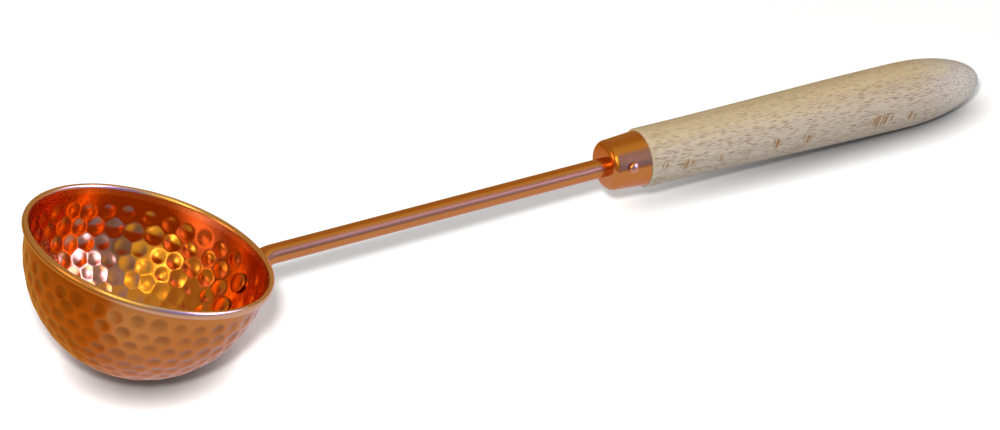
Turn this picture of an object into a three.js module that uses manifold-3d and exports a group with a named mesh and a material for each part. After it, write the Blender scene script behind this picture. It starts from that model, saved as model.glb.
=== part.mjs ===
// Sauna ladle: a hammered copper bowl, a copper shaft riveted to it and a beech grip in a copper ferrule.
// Sizes are in millimetres. The ladle is drawn with the rim of the bowl in the plane z = 0 and the handle
// toward +X, and is then laid down on its bowl and on the end of its grip, as it lies on a table.
import * as THREE from 'three';
import { mergeVertices } from 'three/addons/utils/BufferGeometryUtils.js';
import Module from 'manifold-3d';

// Bowl
const RIM_RADIUS = 49.2; // to the middle of the rim bead
const BEAD_DIAMETER = 2.6;
const SHEET = 0.7;
const BOWL_DEPTH = 51.3; // from the rim plane to the outside of the round bottom
const BASE_DIAMETER = 16; // small flat at the bottom
const BAND_HEIGHT = 6; // plain band under the rim, without hammer marks
const CURL_END = -105; // degrees round the bead, where the curled edge stops
const WIRE_CLEARANCE = 0.15;

// Hammer marks, struck from outside in staggered rings
const DENT_DIAMETER = 7.2;
const DENT_DEPTH = 0.5;
const FIRST_RING_DROP = 9; // from the rim plane to the middle of the first ring
const RING_PITCH = 6.35; // from ring to ring along the wall
const RING_LEAN = 0.7; // the rings lie this much lower on the +Y side and higher on the other
const DENTS_PER_RING = 36;
const DENT_COUNT_STEP = 6; // rings near the bottom lose this many dents at a time
const LEAST_DENT_PITCH = 6.5; // from dent to dent in a ring

// Shaft
const SHAFT_DIAMETER = 8;
const SHAFT_RISE = 16; // degrees above the rim plane
const SHAFT_DROP = 4; // axis below the rim plane where it crosses the rim circle
const SHAFT_REACH = 175.5; // along the axis, from the rim circle to the rear edge of the ferrule
const BEND_START = 8; // along the axis, from the rim circle to the start of the bend
const FLATTEN_RUN = 14; // length over which the rod widens into the palm
const TANG_LENGTH = 60; // end of the shaft inside the grip, behind the ferrule
const TANG_CHAMFER = 0.8;
const PALM_WIDTH = 14;
const PALM_THICKNESS = 3.4;
const PALM_SQUARENESS = 4; // power of the palm's rounded section; 2 is an ellipse

// Rivets
const UPPER_RIVET_DROP = 15.2; // from the rim plane
const RIVET_PITCH = 11.6; // along the wall
const RIVET_SHANK = 4;
const RIVET_HEAD_DIAMETER = 8.2;
const RIVET_HEAD_HEIGHT = 1.1;
const RIVET_HEAD_EDGE = 0.6; // upright edge of the flat head, part of its height
const RIVET_TAIL_DIAMETER = 6.6;
const RIVET_TAIL_HEIGHT = 1.5;

// Ferrule and its nail
const FERRULE_LENGTH = 16.5;
const FERRULE_FRONT_RADIUS = 10.3; // of the cone, taken at the front face
const FERRULE_REAR_RADIUS = 11.5;
const FERRULE_EDGE = 3; // radius of the rounded front edge
const FERRULE_WALL = 0.8;
const NAIL_OFFSET = 8.4; // ahead of the rear edge of the ferrule
const NAIL_ANGLE = 18; // degrees above the side of the grip
const NAIL_HEAD_DIAMETER = 4.6;
const NAIL_HEAD_HEIGHT = 1.3;
const NAIL_SHANK = 1.8;
const NAIL_LENGTH = 5;
const NAIL_POINT = 1.6;

// Grip
const GRIP_LENGTH = 166.8; // from the rear edge of the ferrule to the tip
const GRIP_DROOP = 1.3; // degrees by which the grip dips below the line of the shaft
const GRIP_NECK_RADIUS = 12.3;
const GRIP_RADIUS = 13.8;
const GRIP_END_LENGTH = 39.5; // of the rounded end
const GRIP_EDGE = 0.8; // rounding of the shoulder behind the ferrule

// Fits
const FIT = 0.3; // gap between pieces that touch

// Facets
const WIRE_SIDES = 6;
const RIM_STEPS = 60;
const CURL_STEPS = 5;
const BEAD_STEPS = 8;
const BASE_STEPS = 24;
const TURNED_STEPS = 32;
const EDGE_STEPS = 3;
const BODY_STEPS = 6;
const END_STEPS = 9;
const PIN_STEPS = 12;
const PIN_DOME_STEPS = 4;
const CROWN_STEPS = 3;
const SECTION_STEPS = 16;
const PALM_STEPS = 4;
const BEND_STEPS = 8;
const PALM_END_TURNS = [75, 55, 35, 15]; // degrees round the half circle that ends the palm

// Most of the way that the edge of a dent may reach to the middle of the triangle beside it
const DENT_SHARE = 0.9;
const WELD = 1e-4; // corners closer than this are one
const TILT_HALVINGS = 50;

const wasm = await Module();
wasm.setup();

const radians = THREE.MathUtils.degToRad;
const beadRadius = BEAD_DIAMETER / 2;
const hollowRadius = beadRadius - SHEET;
const wallRadius = RIM_RADIUS - hollowRadius;
const meanRadius = (wallRadius + BOWL_DEPTH) / 2;
const Y_AXIS = new THREE.Vector3(0, 1, 0);

// The outside of the bowl is half an ellipsoid. Its points are named by the angle below the rim, as
// seen in the section, and by the turn round the bowl's axis.
function wallPoint(angle, turn) {
  const radius = wallRadius * Math.cos(angle);
  const height = -BOWL_DEPTH * Math.sin(angle);
  return new THREE.Vector3(radius * Math.cos(turn), radius * Math.sin(turn), height);
}

function wallNormal(point) {
  const across = wallRadius ** 2;
  const down = BOWL_DEPTH ** 2;
  return new THREE.Vector3(point.x / across, point.y / across, point.z / down).normalize();
}

function insetPoint(point, depth) {
  return point.clone().addScaledVector(wallNormal(point), -depth);
}

function onWall(point) {
  const across = (point.x ** 2 + point.y ** 2) / wallRadius ** 2;
  const down = point.z ** 2 / BOWL_DEPTH ** 2;
  return point.clone().divideScalar(Math.sqrt(across + down));
}

function angleAtDrop(drop) {
  return Math.asin(drop / BOWL_DEPTH);
}

const upperRivetAngle = angleAtDrop(UPPER_RIVET_DROP);
const lowerRivetAngle = upperRivetAngle + RIVET_PITCH / meanRadius;
const rivetAngles = [upperRivetAngle, lowerRivetAngle];

// Turns a list of corner points, three to a triangle, into a geometry with shared corners.
function fromTriangles(corners) {
  const geometry = new THREE.BufferGeometry();
  geometry.setFromPoints(corners);
  return mergeVertices(geometry, WELD);
}

function toManifold(geometry) {
  const bare = geometry.clone();
  bare.deleteAttribute('normal');
  bare.deleteAttribute('uv');
  const merged = mergeVertices(bare, WELD);
  const vertProperties = new Float32Array(merged.attributes.position.array);
  const triVerts = new Uint32Array(merged.index.array);
  return new wasm.Manifold(new wasm.Mesh({ numProp: 3, vertProperties, triVerts }));
}

function cut(geometry, cutters) {
  let body = toManifold(geometry);
  for (const cutter of cutters) {
    body = body.subtract(toManifold(cutter));
  }
  const mesh = body.getMesh();
  const result = new THREE.BufferGeometry();
  result.setAttribute('position', new THREE.BufferAttribute(new Float32Array(mesh.vertProperties), 3));
  result.setIndex(new THREE.BufferAttribute(new Uint32Array(mesh.triVerts), 1));
  return result;
}

// Moves a piece drawn along the Y axis to an origin and a direction.
function place(geometry, origin, direction) {
  geometry.applyQuaternion(new THREE.Quaternion().setFromUnitVectors(Y_AXIS, direction));
  return geometry.translate(origin.x, origin.y, origin.z);
}

// Round bar between two distances along a direction.
function bar(diameter, from, to, origin, direction) {
  const radius = diameter / 2;
  const geometry = new THREE.CylinderGeometry(radius, radius, to - from, PIN_STEPS);
  geometry.translate(0, (from + to) / 2, 0);
  return place(geometry, origin, direction);
}

function arc(centreX, centreY, radius, fromDegrees, toDegrees, steps) {
  const points = [];
  for (let i = 0; i <= steps; i += 1) {
    const angle = radians(fromDegrees + ((toDegrees - fromDegrees) * i) / steps);
    points.push(new THREE.Vector2(centreX + radius * Math.cos(angle), centreY + radius * Math.sin(angle)));
  }
  return points;
}

// Quarter of an ellipse from its edge, at the given radius, up or down to the axis.
function dome(radius, base, height, steps) {
  const points = [];
  for (let i = 0; i < steps; i += 1) {
    const angle = (Math.PI / 2) * (i / steps);
    points.push(new THREE.Vector2(radius * Math.cos(angle), base + height * Math.sin(angle)));
  }
  points.push(new THREE.Vector2(0, base + height));
  return points;
}

// A mark under a rivet head is left out, so that the head seats on plain metal.
function underRivet(point) {
  const clear = (RIVET_HEAD_DIAMETER + DENT_DIAMETER) / 2;
  return rivetAngles.some((angle) => wallPoint(angle, 0).distanceTo(point) < clear);
}

function latticeRing(angle, count, shift, dented) {
  const nodes = [];
  for (let i = 0; i < count; i += 1) {
    const turn = (2 * Math.PI * (i + shift)) / count;
    const lean = dented ? (RING_LEAN * Math.sin(turn)) / meanRadius : 0;
    const point = wallPoint(angle + lean, turn);
    nodes.push({ point, dented: dented && !underRivet(point) });
  }
  return { nodes, shift };
}

// Rings of the hammered wall: a plain ring at the band, the rings of dents, a plain ring at the base.
function hammerLattice() {
  const rings = [latticeRing(angleAtDrop(BAND_HEIGHT), RIM_STEPS, 0, false)];
  let angle = angleAtDrop(FIRST_RING_DROP);
  let shift = 0;
  while (wallRadius * Math.cos(angle) > (BASE_DIAMETER + LEAST_DENT_PITCH) / 2) {
    const room = (2 * Math.PI * wallRadius * Math.cos(angle)) / LEAST_DENT_PITCH;
    const fitting = DENT_COUNT_STEP * Math.floor(room / DENT_COUNT_STEP);
    rings.push(latticeRing(angle, Math.min(DENTS_PER_RING, fitting), shift, true));
    shift = 0.5 - shift;
    angle += RING_PITCH / meanRadius;
  }
  const baseAngle = Math.acos(BASE_DIAMETER / 2 / wallRadius);
  rings.push(latticeRing(baseAngle, BASE_STEPS, 0, false));
  return rings;
}

// Joins two rings by triangles, each step going round the ring that lags behind.
function stitch(upper, lower) {
  const triangles = [];
  const turnAt = (ring, i) => (i + ring.shift) / ring.nodes.length;
  const nodeAt = (ring, i) => ring.nodes[i % ring.nodes.length];
  let i = 0;
  let j = 0;
  while (i < upper.nodes.length || j < lower.nodes.length) {
    const upperDone = i === upper.nodes.length;
    const lowerDone = j === lower.nodes.length;
    const takeUpper = lowerDone || (!upperDone && turnAt(upper, i + 1) <= turnAt(lower, j + 1));
    const last = takeUpper ? nodeAt(upper, i + 1) : nodeAt(lower, j + 1);
    triangles.push([nodeAt(upper, i), nodeAt(lower, j), last]);
    i += takeUpper ? 1 : 0;
    j += takeUpper ? 0 : 1;
  }
  return triangles;
}

// Edge of a dent on the side of one of the triangles round it; a plain node is its own edge.
function dentEdge(node, middle) {
  if (!node.dented) {
    return node.point;
  }
  const outward = middle.clone().sub(node.point);
  const reach = Math.min(DENT_DIAMETER / 2, outward.length() * DENT_SHARE);
  return onWall(node.point.clone().addScaledVector(outward.normalize(), reach));
}

// The hammered wall at an inset from the outside. Every dent is a shallow pit of one facet per neighbour,
// and the plain metal between the dents is filled by strips along the edges of the lattice.
function hammeredWall(rings, inset) {
  const corners = [];
  const edges = new Map();
  const ids = new Map();
  const push = (...points) => {
    for (const point of points) {
      corners.push(insetPoint(point, inset));
    }
  };
  const pushPit = (node, first, second) => {
    if (node.dented) {
      const bottom = insetPoint(node.point, inset + DENT_DEPTH);
      corners.push(bottom, insetPoint(first, inset), insetPoint(second, inset));
    }
  };
  rings.forEach((ring) => ring.nodes.forEach((node) => ids.set(node, ids.size)));
  for (let k = 0; k + 1 < rings.length; k += 1) {
    for (const nodes of stitch(rings[k], rings[k + 1])) {
      const middle = new THREE.Vector3();
      nodes.forEach((node) => middle.addScaledVector(node.point, 1 / 3));
      const tips = nodes.map((node) => dentEdge(node, middle));
      push(...tips);
      for (let side = 0; side < 3; side += 1) {
        const next = (side + 1) % 3;
        const key = [ids.get(nodes[side]), ids.get(nodes[next])];
        const other = edges.get(`${key[1]} ${key[0]}`);
        if (other) {
          fillEdge(nodes[side], nodes[next], [tips[side], tips[next]], other, push, pushPit);
        }
        edges.set(`${key[0]} ${key[1]}`, [tips[side], tips[next]]);
      }
    }
  }
  return corners;
}

// Strip across the edge from a to b, between the tips on its left and those of the triangle on its right.
function fillEdge(a, b, left, right, push, pushPit) {
  const [aLeft, bLeft] = left;
  const [bRight, aRight] = right;
  if (b.dented) {
    push(aRight, bRight, bLeft);
  }
  if (a.dented) {
    push(aRight, bLeft, aLeft);
  }
  pushPit(a, aRight, aLeft);
  pushPit(b, bLeft, bRight);
}

function baseDisc(ring, inset) {
  const corners = [];
  const points = ring.nodes.map((node) => insetPoint(node.point, inset));
  const middle = new THREE.Vector3(0, 0, points[0].z);
  points.forEach((point, i) => corners.push(point, middle, points[(i + 1) % points.length]));
  return corners;
}

// Plain band and curled rim, as rings of a section that runs up the outside, round the hollow of the
// curl, back round the bead and down the inside.
function rimWall(band) {
  const section = [
    ...arc(RIM_RADIUS, 0, hollowRadius, 180, CURL_END, CURL_STEPS),
    ...arc(RIM_RADIUS, 0, beadRadius, CURL_END, 180, BEAD_STEPS),
  ];
  const rings = section.map(({ x, y }) =>
    band.nodes.map((node, i) => {
      const turn = (2 * Math.PI * i) / RIM_STEPS;
      return new THREE.Vector3(x * Math.cos(turn), x * Math.sin(turn), y);
    })
  );
  rings.unshift(band.nodes.map((node) => node.point));
  rings.push(band.nodes.map((node) => insetPoint(node.point, SHEET)));
  const corners = [];
  for (let k = 0; k + 1 < rings.length; k += 1) {
    for (let i = 0; i < RIM_STEPS; i += 1) {
      const next = (i + 1) % RIM_STEPS;
      corners.push(rings[k][i], rings[k][next], rings[k + 1][next]);
      corners.push(rings[k][i], rings[k + 1][next], rings[k + 1][i]);
    }
  }
  return corners;
}

function rivetHole(angle) {
  const origin = wallPoint(angle, 0);
  const reach = PALM_THICKNESS * 2;
  return bar(RIVET_SHANK + 2 * FIT, -reach, reach, origin, wallNormal(origin));
}

function bowlGeometry() {
  const rings = hammerLattice();
  const base = rings[rings.length - 1];
  const outside = [...hammeredWall(rings, 0), ...baseDisc(base, 0)];
  const inside = [...hammeredWall(rings, SHEET), ...baseDisc(base, SHEET)].reverse();
  const shell = fromTriangles([...outside, ...rimWall(rings[0]), ...inside]);
  return cut(shell, rivetAngles.map(rivetHole));
}

function rimWireGeometry() {
  const ring = arc(RIM_RADIUS, 0, hollowRadius - WIRE_CLEARANCE, 0, 360, WIRE_SIDES);
  return new THREE.LatheGeometry(ring, RIM_STEPS).rotateX(Math.PI / 2);
}

// Axis of the shaft in the plane y = 0
const shaftDirection = new THREE.Vector3(Math.cos(radians(SHAFT_RISE)), 0, Math.sin(radians(SHAFT_RISE)));
const shaftOrigin = new THREE.Vector3(RIM_RADIUS, 0, -SHAFT_DROP);
const gripOrigin = shaftOrigin.clone().addScaledVector(shaftDirection, SHAFT_REACH);
const gripRise = radians(SHAFT_RISE - GRIP_DROOP);
const gripDirection = new THREE.Vector3(Math.cos(gripRise), 0, Math.sin(gripRise));
const gripUp = new THREE.Vector3(-Math.sin(gripRise), 0, Math.cos(gripRise));

// Stations of the shaft from the round end of its palm to the end of its tang: the middle of the section,
// the direction away from the bowl, the half width, the half thickness and how far it is flattened.
function palmStation(angle) {
  const wall = wallPoint(angle, 0);
  const outward = wallNormal(wall);
  const middle = wall.clone().addScaledVector(outward, FIT + PALM_THICKNESS / 2);
  const past = Math.max(0, (angle - lowerRivetAngle) * meanRadius);
  const halfWidth = Math.sqrt(Math.max(0, (PALM_WIDTH / 2) ** 2 - past ** 2));
  return { middle, outward, halfWidth, halfThickness: PALM_THICKNESS / 2, flat: 1 };
}

function bendCurve(palmTop) {
  const along = new THREE.Vector3(palmTop.outward.z, 0, -palmTop.outward.x).negate();
  const start = shaftOrigin.clone().addScaledVector(shaftDirection, BEND_START);
  const gap = start.clone().sub(palmTop.middle);
  const turn = along.x * shaftDirection.z - along.z * shaftDirection.x;
  const length = (gap.x * shaftDirection.z - gap.z * shaftDirection.x) / turn;
  const corner = palmTop.middle.clone().addScaledVector(along, length);
  return new THREE.QuadraticBezierCurve3(palmTop.middle, corner, start);
}

function bendStation(middle, along, run) {
  const flat = 1 - THREE.MathUtils.smoothstep(run, 0, FLATTEN_RUN);
  const outward = new THREE.Vector3(along.z, 0, -along.x);
  const halfWidth = THREE.MathUtils.lerp(SHAFT_DIAMETER, PALM_WIDTH, flat) / 2;
  const halfThickness = THREE.MathUtils.lerp(SHAFT_DIAMETER, PALM_THICKNESS, flat) / 2;
  return { middle, outward, halfWidth, halfThickness, flat };
}

function shaftStations() {
  const stations = [];
  const endTurn = PALM_WIDTH / 2 / meanRadius;
  for (const degrees of PALM_END_TURNS) {
    stations.push(palmStation(lowerRivetAngle + endTurn * Math.sin(radians(degrees))));
  }
  const topAngle = upperRivetAngle - RIVET_TAIL_DIAMETER / 2 / meanRadius;
  for (let i = 0; i <= PALM_STEPS; i += 1) {
    stations.push(palmStation(THREE.MathUtils.lerp(lowerRivetAngle, topAngle, i / PALM_STEPS)));
  }
  const bend = bendCurve(stations[stations.length - 1]);
  const bendLength = bend.getLength();
  for (let i = 1; i <= BEND_STEPS; i += 1) {
    const share = i / BEND_STEPS;
    stations.push(bendStation(bend.getPointAt(share), bend.getTangentAt(share), bendLength * share));
  }
  const axisStation = (reach, radius) => {
    const middle = shaftOrigin.clone().addScaledVector(shaftDirection, reach);
    const station = bendStation(middle, shaftDirection, bendLength + reach - BEND_START);
    return radius ? { ...station, halfWidth: radius, halfThickness: radius } : station;
  };
  const roundFrom = BEND_START + Math.max(1, FLATTEN_RUN - bendLength);
  stations.push(axisStation((BEND_START + roundFrom) / 2), axisStation(roundFrom));
  const end = SHAFT_REACH + TANG_LENGTH;
  stations.push(axisStation(end - TANG_CHAMFER), axisStation(end, SHAFT_DIAMETER / 2 - TANG_CHAMFER));
  return stations;
}

// Closed section of a station. The palm is dished to lie on the round wall behind it.
function sectionPoints({ middle, outward, halfWidth, halfThickness, flat }) {
  const power = 2 / THREE.MathUtils.lerp(2, PALM_SQUARENESS, flat);
  const rounded = (value) => Math.sign(value) * Math.abs(value) ** power;
  const points = [];
  for (let i = 0; i < SECTION_STEPS; i += 1) {
    const angle = (2 * Math.PI * i) / SECTION_STEPS;
    const across = halfWidth * rounded(Math.cos(angle));
    const dish = (flat * across ** 2) / (2 * wallRadius);
    const point = middle.clone().addScaledVector(outward, halfThickness * rounded(Math.sin(angle)) - dish);
    points.push(point.addScaledVector(Y_AXIS, across));
  }
  return points;
}

function loft(sections) {
  const corners = [];
  const last = sections.length - 1;
  for (let k = 0; k < last; k += 1) {
    for (let i = 0; i < SECTION_STEPS; i += 1) {
      const next = (i + 1) % SECTION_STEPS;
      corners.push(sections[k][i], sections[k + 1][next], sections[k][next]);
      corners.push(sections[k][i], sections[k + 1][i], sections[k + 1][next]);
    }
  }
  for (let i = 1; i + 1 < SECTION_STEPS; i += 1) {
    corners.push(sections[0][0], sections[0][i], sections[0][i + 1]);
    corners.push(sections[last][0], sections[last][i + 1], sections[last][i]);
  }
  return fromTriangles(corners);
}

function shaftGeometry() {
  const rod = loft(shaftStations().map(sectionPoints));
  return cut(rod, rivetAngles.map(rivetHole));
}

// Rivet with a low flat head inside the bowl and a peened tail on the palm, drawn outward from the wall.
function rivetGeometry(angle) {
  const wall = wallPoint(angle, 0);
  const headGap = FIT + (RIVET_HEAD_DIAMETER / 2) ** 2 / (2 * wallRadius);
  const headFace = -SHEET - headGap;
  const tailFace = FIT + PALM_THICKNESS + FIT;
  const headEdge = headFace - RIVET_HEAD_EDGE;
  const crown = dome(RIVET_HEAD_DIAMETER / 2, headEdge, RIVET_HEAD_EDGE - RIVET_HEAD_HEIGHT, CROWN_STEPS);
  const head = [...crown.reverse(), new THREE.Vector2(RIVET_HEAD_DIAMETER / 2, headFace)];
  const tail = dome(RIVET_TAIL_DIAMETER / 2, tailFace, RIVET_TAIL_HEIGHT, PIN_DOME_STEPS);
  const shank = RIVET_SHANK / 2;
  const neck = [new THREE.Vector2(shank, headFace), new THREE.Vector2(shank, tailFace)];
  return place(new THREE.LatheGeometry([...head, ...neck, ...tail], PIN_STEPS), wall, wallNormal(wall));
}

// Outline of the ferrule from the middle of its front face to its rear edge, moved in by an inset. The
// same outline makes the outside, the inside and the tenon of the grip.
function capOutline(inset, rear) {
  const taper = (FERRULE_REAR_RADIUS - FERRULE_FRONT_RADIUS) / FERRULE_LENGTH;
  const front = inset - FERRULE_LENGTH;
  const edge = Math.max(FERRULE_EDGE - inset, FIT);
  const sideAt = (y) => FERRULE_FRONT_RADIUS + taper * (y + FERRULE_LENGTH) - inset;
  const sideStart = front + edge;
  const corner = arc(sideAt(sideStart) - edge, sideStart, edge, -90, 0, EDGE_STEPS);
  return [new THREE.Vector2(0, front), ...corner, new THREE.Vector2(sideAt(rear), rear)];
}

function ferruleRadiusAt(y) {
  const taper = (FERRULE_REAR_RADIUS - FERRULE_FRONT_RADIUS) / FERRULE_LENGTH;
  return FERRULE_REAR_RADIUS + taper * y;
}

const nailFoot = gripOrigin.clone().addScaledVector(gripDirection, -NAIL_OFFSET);
const nailDirection = gripUp.clone().multiplyScalar(Math.sin(radians(NAIL_ANGLE)));
nailDirection.addScaledVector(Y_AXIS, -Math.cos(radians(NAIL_ANGLE)));
const nailSeat = ferruleRadiusAt(-NAIL_OFFSET) + FIT;

function nailHole() {
  const deep = nailSeat - NAIL_LENGTH - FIT;
  return bar(NAIL_SHANK + 2 * FIT, deep, nailSeat + NAIL_HEAD_HEIGHT, nailFoot, nailDirection);
}

function shaftBore() {
  const from = SHAFT_REACH - 2 * FERRULE_LENGTH;
  const to = SHAFT_REACH + TANG_LENGTH + FIT;
  return bar(SHAFT_DIAMETER + 2 * FIT, from, to, shaftOrigin, shaftDirection);
}

function ferruleGeometry() {
  const outside = capOutline(0, 0);
  const inside = capOutline(FERRULE_WALL, 0).reverse();
  const cap = new THREE.LatheGeometry([...outside, ...inside], TURNED_STEPS);
  return cut(place(cap, gripOrigin, gripDirection), [shaftBore(), nailHole()]);
}

function nailGeometry() {
  const shank = NAIL_SHANK / 2;
  const tip = nailSeat - NAIL_LENGTH;
  const outline = [
    new THREE.Vector2(0, tip),
    new THREE.Vector2(shank, tip + NAIL_POINT),
    new THREE.Vector2(shank, nailSeat),
    ...dome(NAIL_HEAD_DIAMETER / 2, nailSeat, NAIL_HEAD_HEIGHT, PIN_DOME_STEPS),
  ];
  return place(new THREE.LatheGeometry(outline, PIN_STEPS), nailFoot, nailDirection);
}

// Turned grip: a tenon for the ferrule, a rounded shoulder, a body that swells toward the rear and a
// rounded end.
function gripOutline() {
  const tenon = capOutline(FERRULE_WALL + FIT, FIT);
  const shoulder = arc(GRIP_NECK_RADIUS - GRIP_EDGE, FIT + GRIP_EDGE, GRIP_EDGE, -90, 0, EDGE_STEPS);
  const body = [];
  const bodyStart = FIT + GRIP_EDGE;
  const bodyEnd = GRIP_LENGTH - GRIP_END_LENGTH;
  for (let i = 1; i < BODY_STEPS; i += 1) {
    const y = THREE.MathUtils.lerp(bodyStart, bodyEnd, i / BODY_STEPS);
    const swell = THREE.MathUtils.smoothstep(y, bodyStart, bodyEnd);
    body.push(new THREE.Vector2(THREE.MathUtils.lerp(GRIP_NECK_RADIUS, GRIP_RADIUS, swell), y));
  }
  return [...tenon, ...shoulder, ...body, ...dome(GRIP_RADIUS, bodyEnd, GRIP_END_LENGTH, END_STEPS)];
}

function gripGeometry() {
  const turned = place(new THREE.LatheGeometry(gripOutline(), TURNED_STEPS), gripOrigin, gripDirection);
  return cut(turned, [shaftBore(), nailHole()]);
}

// Tilt at which the bowl and the end of the grip touch one table plane, found by halving an interval.
function restingTilt() {
  const endMiddle = gripOrigin.clone().addScaledVector(gripDirection, GRIP_LENGTH - GRIP_END_LENGTH);
  const clearance = (tilt) => {
    const up = new THREE.Vector3(-Math.sin(tilt), 0, Math.cos(tilt));
    const bowlReach = Math.hypot(wallRadius * up.x, BOWL_DEPTH * up.z);
    const endReach = Math.hypot(GRIP_END_LENGTH * up.dot(gripDirection), GRIP_RADIUS * up.dot(gripUp));
    return endMiddle.dot(up) - endReach + bowlReach;
  };
  let low = 0;
  let high = Math.PI / 2;
  for (let i = 0; i < TILT_HALVINGS; i += 1) {
    const middle = (low + high) / 2;
    if (clearance(middle) > 0) {
      low = middle;
    } else {
      high = middle;
    }
  }
  return low;
}

const copper = () => new THREE.MeshStandardMaterial({ color: 0xb96b3c, roughness: 0.25, metalness: 1 });
const beech = () => new THREE.MeshStandardMaterial({ color: 0xcdb893, roughness: 0.6, metalness: 0 });

function piece(name, geometry, material) {
  const mesh = new THREE.Mesh(geometry, material);
  mesh.name = name;
  return mesh;
}

const ladle = new THREE.Group();
ladle.name = 'ladle';
ladle.add(piece('bowl', bowlGeometry(), copper()));
ladle.add(piece('rim_wire', rimWireGeometry(), copper()));
ladle.add(piece('shaft', shaftGeometry(), copper()));
ladle.add(piece('upper_rivet', rivetGeometry(upperRivetAngle), copper()));
ladle.add(piece('lower_rivet', rivetGeometry(lowerRivetAngle), copper()));
ladle.add(piece('ferrule', ferruleGeometry(), copper()));
ladle.add(piece('ferrule_nail', nailGeometry(), copper()));
ladle.add(piece('grip', gripGeometry(), beech()));

// Laid on the table, with the middle of its bounding box over the origin
ladle.rotation.y = restingTilt();
ladle.updateMatrixWorld(true);
const box = new THREE.Box3().setFromObject(ladle, true);
ladle.position.set(-(box.min.x + box.max.x) / 2, -(box.min.y + box.max.y) / 2, -box.min.z);

const part = new THREE.Group();
part.name = 'sauna_ladle';
part.add(ladle);
export default part;
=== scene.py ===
import math
import random

import bmesh
import bpy
from mathutils import Matrix, Vector
from mathutils.kdtree import KDTree


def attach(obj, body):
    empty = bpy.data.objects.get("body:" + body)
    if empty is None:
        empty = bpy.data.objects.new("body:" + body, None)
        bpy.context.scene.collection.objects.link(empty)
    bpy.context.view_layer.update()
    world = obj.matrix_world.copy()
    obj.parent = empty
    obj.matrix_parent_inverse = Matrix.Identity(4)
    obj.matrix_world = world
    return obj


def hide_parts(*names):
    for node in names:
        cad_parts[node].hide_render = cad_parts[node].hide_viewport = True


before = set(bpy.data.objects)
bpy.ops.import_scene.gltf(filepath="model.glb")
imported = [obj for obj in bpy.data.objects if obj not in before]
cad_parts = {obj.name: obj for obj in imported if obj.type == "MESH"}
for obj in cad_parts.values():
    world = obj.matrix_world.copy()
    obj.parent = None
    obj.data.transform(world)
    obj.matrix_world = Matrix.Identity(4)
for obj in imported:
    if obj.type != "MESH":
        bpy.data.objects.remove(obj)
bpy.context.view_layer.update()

# How the ladle lies, as in the CAD model
MM = 0.001
TILT = 0.3271614437615592
LADLE_AT = Vector((-169.0543, 0.0, 51.0263))

# Bowl. The curl of its rim is an upright oval in section, which ends at an angle in degrees: its middle lies
# below the rim plane by the drop, and its half height is larger by as much, so that its top stays.
RIM_RADIUS = 49.2
BEAD_RADIUS = 1.3
SHEET = 0.7
BOWL_DEPTH = 51.3
BASE_RADIUS = 8.0
CURL_DROP = 0.5
CURL_END = -105
CURL_STEPS = 18
WIRE_CLEARANCE = 0.15
WIRE_SIDES = 12
BOWL_STEPS = 400
WALL_ROWS = 100

# Hammer marks, in rings that lean a little, and how much the hand varies their place, size and depth
DENT_DIAMETER = 7.2
DENT_DEPTH = 0.5
DENT_EDGE_POWER = 1.3
FIRST_RING_DROP = 9.0
RING_PITCH = 6.35
RING_LEAN = 0.7
DENTS_PER_RING = 36
DENT_COUNT_STEP = 6
LEAST_DENT_PITCH = 6.5
DENT_WANDER = 0.7
DENT_SIZE_SPREAD = 0.15
DENT_DEPTH_SPREAD = 0.25
HAND_SEED = 11

# Tarnish in a mark and painted shade toward its upper edge: the share of tarnish all over it, how much
# painted shade lies more toward its upper edge, and how both end
TARNISH_EVEN = 0.6
PAINTED_SHADE_ABOVE = 0.55
TARNISH_AND_SHADE_EDGE_POWER = 0.4

# Shaft. Stations round the end of its palm are given in degrees, and the last rings by their distance past
# the bend.
SHAFT_RADIUS = 4.0
SHAFT_RISE = math.radians(16)
SHAFT_DROP = 4.0
SHAFT_REACH = 175.5
BEND_START = 8.0
BEND_STEPS = 32
FLATTEN_RUN = 14.0
RINGS_PAST_BEND = (3, 8, 60)
TANG_LENGTH = 60.0
TANG_CHAMFER = 0.8
PALM_WIDTH = 14.0
PALM_THICKNESS = 3.4
PALM_SQUARENESS = 4.0
PALM_END_ANGLES = (84, 76, 66, 54, 42, 30, 18, 6)
PALM_STEPS = 8
SECTION_STEPS = 48

# Rivets
UPPER_RIVET_DROP = 15.2
RIVET_PITCH = 11.6
RIVET_SHANK = 2.0
RIVET_HEAD_RADIUS = 4.1
RIVET_HEAD_HEIGHT = 1.1
RIVET_HEAD_EDGE = 0.6
RIVET_TAIL_RADIUS = 3.3
RIVET_TAIL_HEIGHT = 1.5

# Ferrule and its nail
FERRULE_LENGTH = 16.5
FERRULE_FRONT_RADIUS = 10.3
FERRULE_REAR_RADIUS = 11.5
FERRULE_EDGE = 3.0
FERRULE_EDGE_STEPS = 10
FERRULE_WALL = 0.8
NAIL_OFFSET = 8.4
NAIL_ANGLE = math.radians(18)
NAIL_HEAD_RADIUS = 2.3
NAIL_HEAD_HEIGHT = 1.3
NAIL_SHANK = 0.9
NAIL_LENGTH = 5.0
NAIL_POINT = 1.6

# Grip
GRIP_LENGTH = 166.8
GRIP_DROOP = math.radians(1.3)
GRIP_NECK_RADIUS = 12.3
GRIP_RADIUS = 13.8
GRIP_END_LENGTH = 39.5
GRIP_END_STEPS = 30
GRIP_SWELL_STEPS = 24
GRIP_EDGE = 0.8
GRIP_EDGE_STEPS = 6

# Fits, and how fine the turned pieces are
FIT = 0.3
SNUG = 0.05
TURNED_STEPS = 96
PIN_STEPS = 48
DOME_STEPS = 10
CREASE = math.radians(38)
MERGE_DISTANCE = 1e-4
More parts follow.
